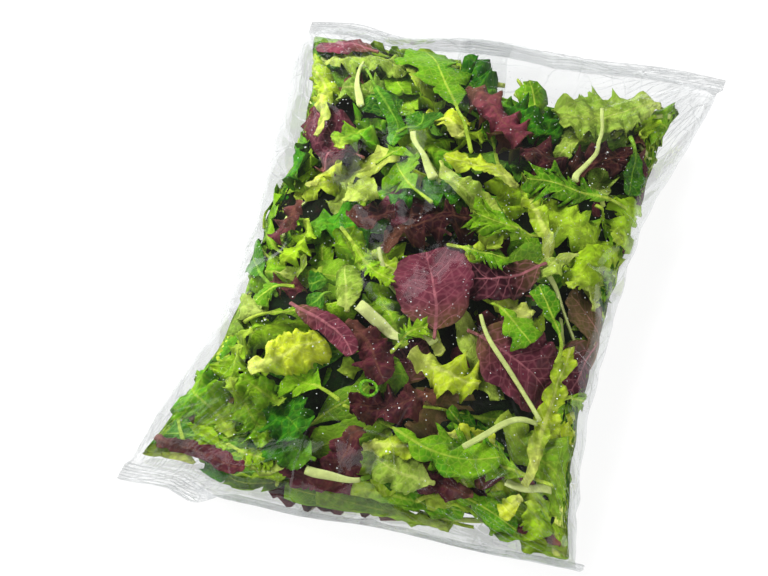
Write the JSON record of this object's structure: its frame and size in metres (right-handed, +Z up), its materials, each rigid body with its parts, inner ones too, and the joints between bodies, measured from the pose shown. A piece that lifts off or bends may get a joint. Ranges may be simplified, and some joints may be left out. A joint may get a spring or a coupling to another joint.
{
  "type": "bag of salad leaves",
  "caption": "Clear sealed pillow bag filled with mixed green and maroon salad leaves, lying on its back, with a ribbed seal across each end.",
  "frame": {"origin": "on the surface that the bag lies on, under the middle of its bounds", "axes": "+Y along the bag towards its upper seal, +X to the right across the bag, +Z up, out of the shown side"},
  "size_m": [0.25, 0.351, 0.0693],
  "materials": {
    "salad_bag": "clear glossy film over mixed green and maroon leaves"
  },
  "bodies": {
    "root": {"salad_bag": "salad_bag"}
  },
  "joints": []
}
